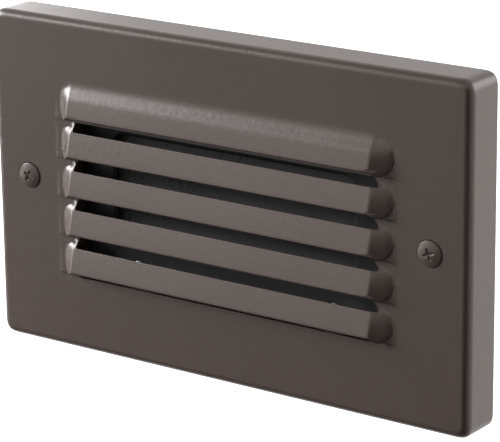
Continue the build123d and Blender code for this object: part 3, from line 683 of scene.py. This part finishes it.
for node, width in softEdges.items():
    pieces.setdefault(slotOf[node], []).append(soften(node, width))
print("edges broken")


# The camera, fitted to the plate's corners and screws in the photograph
camera = {
    "azimuth": 35.89, "elevation": 16.93, "roll": -0.689, "distance": 0.53424,
    "target": (0.00408, -0.005, -0.001428), "focalPixels": 2718.96, "imageWidth": 500, "sensorWidth": 36,
}


def makeCamera():
    # the azimuth runs from the front towards the right; the roll is about the line of sight
    data = bpy.data.cameras.new("camera")
    data.sensor_width = camera["sensorWidth"]
    data.lens = data.sensor_width * camera["focalPixels"] / camera["imageWidth"]
    a, e = math.radians(camera["azimuth"]), math.radians(camera["elevation"])
    roll = math.radians(camera["roll"])
    back = Vector((math.sin(a) * math.cos(e), -math.cos(a) * math.cos(e), math.sin(e)))
    right = Vector((math.cos(a), math.sin(a), 0))
    up = back.cross(right)
    across = right * math.cos(roll) + up * math.sin(roll)
    upright = back.cross(across)
    turned = Matrix((across, upright, back)).transposed().to_4x4()
    turned.translation = Vector(camera["target"]) + back * camera["distance"]
    view = bpy.data.objects.new("camera", data)
    view.matrix_world = turned
    bpy.context.scene.collection.objects.link(view)
    bpy.context.scene.camera = view


makeCamera()
print("camera placed")


# Light and floor: a white world, three soft lamps, a pale floor with painted shade patches that only
# reflections and bounce light see, and three dark flags, in metres and watts
studio = {
    "worldGrey": 0.23, "floorHeight": -0.25, "floorSize": 6.0, "floorLift": 0.6, "paper": (0.92, 0.94),
    "lamps": {
        "key": ((-1.36, -0.52, 0.62), 1.0, 57.0), "rightBehind": ((1.2, 1.0, 0.62), 1.7, 28.0),
        "leftBehind": ((-1.25, 0.96, 0.31), 0.6, 4.5),
    },
    "flagTone": 0.015,
    "flags": {
        "darkRight": {"place": (0.25, -0.44, -0.01), "width": 0.48, "height": 0.42},
        "darkSide": {"place": (-0.72, 0.2, -0.04), "width": 0.42, "height": 0.4},
        "darkCeiling": {"place": (-0.26, -0.2, 0.52), "width": 0.55, "height": 0.62},
    },
    # painted shade on the floor, seen only in reflections and bounce light: a dark patch in front and a grey
    # one behind left
    "darkFront": {
        "left": -1.0, "right": 0.5, "near": -1.5, "dark": 0.02, "pale": 0.22,
        "fadeStart": 0.35, "fade": 0.75, "slope": 0.9,
    },
    "greyBehind": {"left": -1.6, "right": -0.3, "far": 1.5, "tone": 0.2},
}


def grey(tone):
    # a neutral colour
    return (tone, tone, tone)


def makeLamp(name, place, size, power):
    # a soft disk aimed at the origin
    data = bpy.data.lights.new(name, "AREA")
    data.shape = "DISK"
    data.size = size
    data.energy = power
    lamp = bpy.data.objects.new(name, data)
    lamp.location = place
    lamp.rotation_euler = (-Vector(place)).to_track_quat("-Z", "Y").to_euler()
    bpy.context.scene.collection.objects.link(lamp)


def makeWorld():
    # white to the camera, in reflections and through clear plastic, grey as a light
    world = bpy.data.worlds.new("studio")
    world.use_nodes = True
    tree = world.node_tree
    rays = tree.nodes.new("ShaderNodeLightPath")
    seen = Value(tree, rays.outputs["Is Camera Ray"])
    for ray in ("Is Glossy Ray", "Is Transmission Ray"):
        seen = seen.larger(Value(tree, rays.outputs[ray]))
    background = tree.nodes["Background"]
    background.inputs["Color"].default_value = (1, 1, 1, 1)
    tree.links.new(seen.larger(studio["worldGrey"]).socket, background.inputs["Strength"])
    bpy.context.scene.world = world


def makeSheet(name, corners, finish):
    # one staged quad that isn't part of the object
    mesh = bpy.data.meshes.new(name)
    mesh.from_pydata(corners, [], [(0, 1, 2, 3)])
    sheet = bpy.data.objects.new(name, mesh)
    bpy.context.scene.collection.objects.link(sheet)
    mesh.materials.append(finish.material)
    return sheet


def makeFloor():
    # pale paper to the camera; every other ray sees painted shade on it, dark in front, paler to the left,
    # and grey behind left, which darkens the object's reflections and bounce light
    half, front, behind = studio["floorSize"] / 2, studio["darkFront"], studio["greyBehind"]
    corners = [(-half, -half), (half, -half), (half, half), (-half, half)]
    paper = Finish("palePaper", {"Roughness": 0.9, "Emission Strength": 1.0})
    seen = paper.node("LightPath", output="Is Camera Ray")
    x, y = paper.axis("X"), paper.axis("Y")
    # painted shade: masks of the front and behind-left patches that every ray but the camera's sees darker
    # than the paper
    inside = x.above(front["left"]) * x.below(front["right"]) * y.above(front["near"]) * y.below(0)
    away = ((-x - y * front["slope"] - front["fadeStart"]) / front["fade"]).larger(0).smaller(1)
    tone = paper.mix(away, grey(front["dark"]), grey(front["pale"]))
    rear = x.above(behind["left"]) * x.below(behind["right"]) * y.below(behind["far"]) * y.above(0)
    tone = paper.mix(rear, tone, grey(behind["tone"]))
    sheet = paper.mix(paper.noise(40), *(grey(shade) for shade in studio["paper"]))
    paper.drive(
        colour=paper.mix(inside.larger(rear) * (1 - seen), sheet, tone),
        glow=paper.mix(seen, grey(0), grey(studio["floorLift"])),
    )
    makeSheet("floor", [(x, y, studio["floorHeight"]) for x, y in corners], paper)


def makeFlag(name, flag):
    # a flag that faces the origin, hidden from the camera, and dark in the object's reflections
    place = Vector(flag["place"])
    across = place.cross(Vector((0, 0, 1))).normalized() * flag["width"] / 2
    up = across.cross(place).normalized() * flag["height"] / 2
    corners = [place - across - up, place + across - up, place + across + up, place - across + up]
    black = Finish(name, {"Roughness": 0.95, "Base Color": (*grey(studio["flagTone"]), 1)})
    makeSheet(name, corners, black).visible_camera = False


for lampName, (lampPlace, lampSize, lampPower) in studio["lamps"].items():
    makeLamp(lampName, lampPlace, lampSize, lampPower)
makeWorld()
makeFloor()
for flagName, flag in studio["flags"].items():
    makeFlag(flagName, flag)
print("studio lit")


# Finishes. Pattern sizes are features to the metre, bump depths are metres.
def powderCoat(name, base, light):
    # cloudy colour with fine specks, over a soft orange peel
    finish = Finish(name, {"IOR": 1.5})
    cloud, speck = finish.noise(35, 3), finish.noise(2600)
    peel, grain = finish.noise(850), finish.noise(3200, 1)
    return finish.drive(
        colour=finish.mix(cloud * 0.75 + speck * 0.25, base, light),
        roughness=0.25 + cloud * 0.1 + speck * 0.06,
        normal=finish.bump(grain, 0.000012, finish.bump(peel, 0.00003)),
    )


def closedFoam(name, base, light):
    # small round cells, each darker towards its rim, under a patchy skin
    finish = Finish(name, {"IOR": 1.45})
    cell, skin = finish.cells(1900), finish.noise(160, 3)
    return finish.drive(
        colour=finish.mix(cell * 1.4, light, finish.mix(skin, base, light)),
        roughness=0.82 + skin * 0.15,
        normal=finish.bump(cell, 0.00012),
    )


def plated(name, base, light, rough, streak=(1, 1, 1)):
    # plated steel: cloudy colour, drawn streaks and faint handling marks
    finish = Finish(name, {"IOR": 1.5, "Metallic": 1.0})
    cloud, drawn = finish.noise(130, 4), finish.noise(900, 3, streak)
    mark = finish.noise(420, 6).above(0.62)
    return finish.drive(
        colour=finish.mix(cloud * 0.7 + drawn * 0.3, base, light),
        roughness=rough + drawn * 0.16 + cloud * 0.08 + mark * 0.06,
        normal=finish.bump(drawn, 0.000006),
    )


def castMetal(name, base, light):
    # die-cast skin: flow marks, a sandy grain and a few dark pores
    finish = Finish(name, {"IOR": 1.5, "Metallic": 0.92})
    flow, sand = finish.noise(55, 5, (1, 2.6, 1)), finish.noise(2400, 3)
    pore = finish.noise(2300, 1).above(0.74)
    toned = finish.mix(flow * 0.7 + sand * 0.3, base, light)
    return finish.drive(
        colour=finish.mix(pore * 0.6, toned, (0.2, 0.2, 0.21)),
        roughness=0.42 + flow * 0.14 + sand * 0.12,
        normal=finish.bump(sand - pore * 0.6, 0.00003),
    )


def moulded(name, base, light, rough, grain=3400, depth=0.000012):
    # moulded plastic: spark-eroded grain, slow colour drift and faint rub marks
    finish = Finish(name, {"IOR": 1.49})
    drift, texture = finish.noise(75, 3), finish.noise(grain)
    rub = finish.noise(240, 5, (1, 1, 4)).above(0.6)
    return finish.drive(
        colour=finish.mix(drift * 0.7 + texture * 0.3, base, light),
        roughness=rough + texture * 0.12 - rub * 0.08,
        normal=finish.bump(texture, depth),
    )


def softRubber(name, base, light):
    # rubber with a pale bloom in patches and fine pits
    finish = Finish(name, {"IOR": 1.42})
    bloom, pit = finish.noise(110, 5), finish.cells(2600)
    return finish.drive(
        colour=finish.mix(bloom ** 2, base, light),
        roughness=0.6 + bloom * 0.25,
        normal=finish.bump(pit, 0.000015),
    )


def smokedShadePlastic(name, base, light):
    # dark clear plastic, lightly frosted, that shows a little of the chamber behind it; its dark smoked tint
    # is partly the lens's own colour and partly painted shade for the dark insides of the slots
    finish = Finish(name, {"IOR": 1.49, "Transmission Weight": 0.2})
    frost, haze = finish.noise(2200), finish.noise(60, 3)
    return finish.drive(
        colour=finish.mix(haze, base, light),
        roughness=0.2 + haze * 0.1 + frost * 0.08,
        normal=finish.bump(frost, 0.00001),
    )


def circuitBoard(name, mask, track):
    # solder mask over tracks laid out as long bricks, with round tinned pads
    finish = Finish(name, {"IOR": 1.5, "Coat Weight": 0.3, "Coat Roughness": 0.12})
    pitch = 2.2 * mm
    spot = finish.place(turn=(math.pi / 2, 0, 0))
    settings = {"offset": 0.37, "squash": 0.7, "squash_frequency": 3}
    bricks = {"Vector": spot, "Scale": 1 / pitch / 4, "Mortar Size": 0.04, "Mortar Smooth": 0.1}
    lines = finish.node("TexBrick", settings, bricks, output="Fac")
    pad = finish.cells(190, (1, 0, 1)).below(0.11)
    weave = finish.noise(1500)
    toned = finish.mix(lines, finish.mix(weave, mask, tuple(0.85 * c for c in mask)), track)
    return finish.drive(
        colour=finish.mix(pad, toned, (0.62, 0.62, 0.6)),
        roughness=0.34 + weave * 0.1 - pad * 0.1,
        metallic=pad * 0.9,
        normal=finish.bump(lines * 0.6 + pad + weave * 0.1, 0.00004),
    )


def ledPhosphor(name, chip):
    # a yellow window in each white case, found from the chips' own rows
    finish = Finish(name, {"IOR": 1.45})
    x, z = finish.axis("X"), finish.axis("Z")
    column = (((x - chip["firstX"]) / chip["pitchX"] + 0.5).fraction() - 0.5).size() * chip["pitchX"]
    row = (z.size() - chip["rowZ"]).size()
    window = (column ** 4 / chip["halfX"] ** 4 + row ** 4 / chip["halfZ"] ** 4).below(1)
    front = finish.axis("Y", "NewGeometry", "Normal").below(-0.5)
    grain = finish.noise(4200)
    gel = finish.mix(grain, (0.86, 0.62, 0.1), (0.95, 0.76, 0.2))
    case = finish.mix(grain, (0.84, 0.84, 0.82), (0.9, 0.9, 0.88))
    return finish.drive(
        colour=finish.mix(window * front, case, gel),
        roughness=0.5 - window * front * 0.25 + grain * 0.08,
        normal=finish.bump(grain - window * front * 2, 0.00002),
    )


def fishPaper(name, base, light):
    # pressed paper with long fibres along one axis and faint stains
    finish = Finish(name, {"IOR": 1.45})
    fibre, stain = finish.noise(900, 5, (1, 1, 0.12)), finish.noise(90, 3)
    return finish.drive(
        colour=finish.mix(fibre * 0.6 + stain * 0.4, base, light),
        roughness=0.55 + fibre * 0.2,
        normal=finish.bump(fibre, 0.00003),
    )


def dippedEpoxy(name, base, light):
    # a glossy dip with slow runs and a little dust
    finish = Finish(name, {"IOR": 1.52, "Coat Weight": 0.5, "Coat Roughness": 0.08})
    runs, dust = finish.noise(280), finish.noise(2600)
    return finish.drive(
        colour=finish.mix(runs, base, light),
        roughness=0.22 + dust * 0.1,
        normal=finish.bump(runs, 0.00012),
    )


def copperCoil(name, coil):
    # enamelled turns between two dark flanges, told apart by depth along the bobbin
    finish = Finish(name, {"IOR": 1.5})
    depth = finish.axis("Y")
    wound = depth.above(coil["front"]) * depth.below(coil["back"])
    turns = ((depth * (2 * math.pi / coil["wire"])).wave() + 1) / 2
    tone, sand = finish.noise(700, 3), finish.noise(2600)
    copper = finish.mix(turns * 0.7 + tone * 0.3, (0.34, 0.11, 0.04), (0.78, 0.36, 0.16))
    core = finish.mix(sand, (0.05, 0.05, 0.055), (0.1, 0.1, 0.105))
    return finish.drive(
        colour=finish.mix(wound, core, copper),
        roughness=0.6 - wound * 0.3 + sand * 0.1,
        metallic=wound * 0.85,
        normal=finish.bump(turns * wound + sand * 0.1, 0.00008),
    )


def canSleeve(name, base, light):
    # shrink sleeve with a pale stripe down one side, and a bare aluminium top
    finish = Finish(name, {"IOR": 1.5})
    top = finish.axis("Y", "NewGeometry", "Normal").above(0.8)
    stripe = finish.axis("X", "NewGeometry", "Normal").above(0.93) * (1 - top)
    film, brushed = finish.noise(300, 3), finish.noise(1500, 3)
    sleeve = finish.mix(stripe, finish.mix(film, base, light), (0.55, 0.57, 0.6))
    return finish.drive(
        colour=finish.mix(top, sleeve, finish.mix(brushed, (0.6, 0.6, 0.6), (0.74, 0.74, 0.74))),
        roughness=0.28 + film * 0.1 + brushed * top * 0.15,
        metallic=top,
        normal=finish.bump(film, 0.00003),
    )


def sinteredCore(name, base, light):
    # pressed powder: a fine grain and the edges of small chips
    finish = Finish(name, {"IOR": 1.6})
    grain, chip = finish.noise(2800, 4), finish.cells(700)
    return finish.drive(
        colour=finish.mix(grain * 0.6 + chip * 0.3, base, light),
        roughness=0.5 + grain * 0.25,
        normal=finish.bump(grain, 0.00003),
    )


def tapeWrap(name, base, light):
    # layers of tape: fine edges stepped along the winding, with a glossy skin
    finish = Finish(name, {"IOR": 1.5, "Coat Weight": 0.35, "Coat Roughness": 0.15})
    layer = 1.1 * mm
    edge = (finish.axis("Y") * (2 * math.pi / layer)).wave().above(0.93)
    bubble, film = finish.noise(350, 3), finish.noise(2400)
    return finish.drive(
        colour=finish.mix(edge * 0.5 + bubble * 0.4, light, base),
        roughness=0.3 + bubble * 0.15 + film * 0.05,
        normal=finish.bump(edge + bubble, 0.00004),
    )


# where the light chips sit, and where the coil's wire runs along its bobbin
chips = {"firstX": -17.5 * mm, "pitchX": 7 * mm, "rowZ": 3.5 * mm, "halfX": 1.35 * mm, "halfZ": 1.05 * mm}
coil = {"front": 19.75 * mm, "back": 25.45 * mm, "wire": 0.42 * mm}
finishes = {
    "bronze_coat": powderCoat("bronzeCoat", (0.075, 0.054, 0.046), (0.095, 0.069, 0.059)),
    "bronze_screw": powderCoat("bronzeScrew", (0.075, 0.055, 0.046), (0.098, 0.072, 0.061)),
    "foam_rubber": closedFoam("foamRubber", (0.022, 0.022, 0.024), (0.045, 0.045, 0.048)),
    "white_nylon": moulded("whiteNylon", (0.7, 0.69, 0.64), (0.79, 0.78, 0.74), 0.42),
    "zinc_steel": plated("zincSteel", (0.36, 0.36, 0.35), (0.56, 0.56, 0.55), 0.26, (0.08, 1, 1)),
    "zinc_steel_bright": plated("brightZinc", (0.58, 0.58, 0.56), (0.76, 0.76, 0.75), 0.2),
    "green_screw": plated("greenScrew", (0.02, 0.2, 0.06), (0.05, 0.36, 0.13), 0.3),
    "steel_screw": plated("steelScrew", (0.38, 0.38, 0.38), (0.56, 0.56, 0.55), 0.24),
    # the lens colours are a smoked tint, kept this dark as painted shade for the slots' insides
    "smoked_lens": smokedShadePlastic("smokedLensShade", (0.1, 0.1, 0.102), (0.14, 0.14, 0.142)),
    "silicone_seal": softRubber("siliconeSeal", (0.31, 0.31, 0.32), (0.42, 0.42, 0.43)),
    "black_plastic": moulded("blackPlastic", (0.028, 0.028, 0.03), (0.045, 0.045, 0.048), 0.42),
    "cast_aluminium": castMetal("castAluminium", (0.27, 0.275, 0.285), (0.4, 0.405, 0.415)),
    "grey_pad": softRubber("greyPad", (0.4, 0.42, 0.45), (0.5, 0.52, 0.55)),
    "white_board": circuitBoard("whiteBoard", (0.86, 0.86, 0.84), (0.78, 0.79, 0.78)),
    "led_phosphor": ledPhosphor("ledPhosphor", chips),
    "white_reflector": moulded("whiteReflector", (0.84, 0.84, 0.83), (0.91, 0.91, 0.9), 0.22, 2600),
    "tinned_pin": plated("tinnedPin", (0.62, 0.62, 0.6), (0.78, 0.78, 0.76), 0.22),
    "insulating_sheet": fishPaper("insulatingSheet", (0.42, 0.28, 0.14), (0.64, 0.49, 0.29)),
    "green_board": circuitBoard("greenBoard", (0.015, 0.17, 0.065), (0.04, 0.3, 0.12)),
    "terminal_green": moulded("terminalGreen", (0.035, 0.29, 0.13), (0.07, 0.41, 0.2), 0.38),
    "fuse_brown": moulded("fuseBrown", (0.075, 0.05, 0.04), (0.11, 0.075, 0.06), 0.35),
    "varistor_blue": dippedEpoxy("varistorBlue", (0.035, 0.11, 0.34), (0.07, 0.18, 0.47)),
    "film_yellow": moulded("filmYellow", (0.68, 0.5, 0.08), (0.82, 0.66, 0.17), 0.34),
    "black_epoxy": moulded("blackEpoxy", (0.022, 0.022, 0.022), (0.04, 0.04, 0.04), 0.5, 2800, 0.00002),
    "copper_winding": copperCoil("copperWinding", coil),
    "can_sleeve": canSleeve("canSleeve", (0.035, 0.045, 0.075), (0.06, 0.075, 0.11)),
    "ferrite": sinteredCore("ferrite", (0.055, 0.055, 0.06), (0.11, 0.11, 0.115)),
    "winding_tape": tapeWrap("windingTape", (0.62, 0.46, 0.06), (0.86, 0.73, 0.16)),
    "black_rubber": softRubber("blackRubber", (0.022, 0.022, 0.022), (0.06, 0.06, 0.06)),
}

# every CAD node, and every piece that stands for one, takes its slot's finish
for node, slot in slotOf.items():
    pieces.setdefault(slot, []).append(frame["nodes"][node])
for slot, wearers in pieces.items():
    for wearer in wearers:
        if not wearer.material_slots:
            wearer.data.materials.append(None)
        for place in wearer.material_slots:
            place.material = finishes[slot]
print("finishes on")

bpy.context.scene.view_settings.view_transform = "Standard"
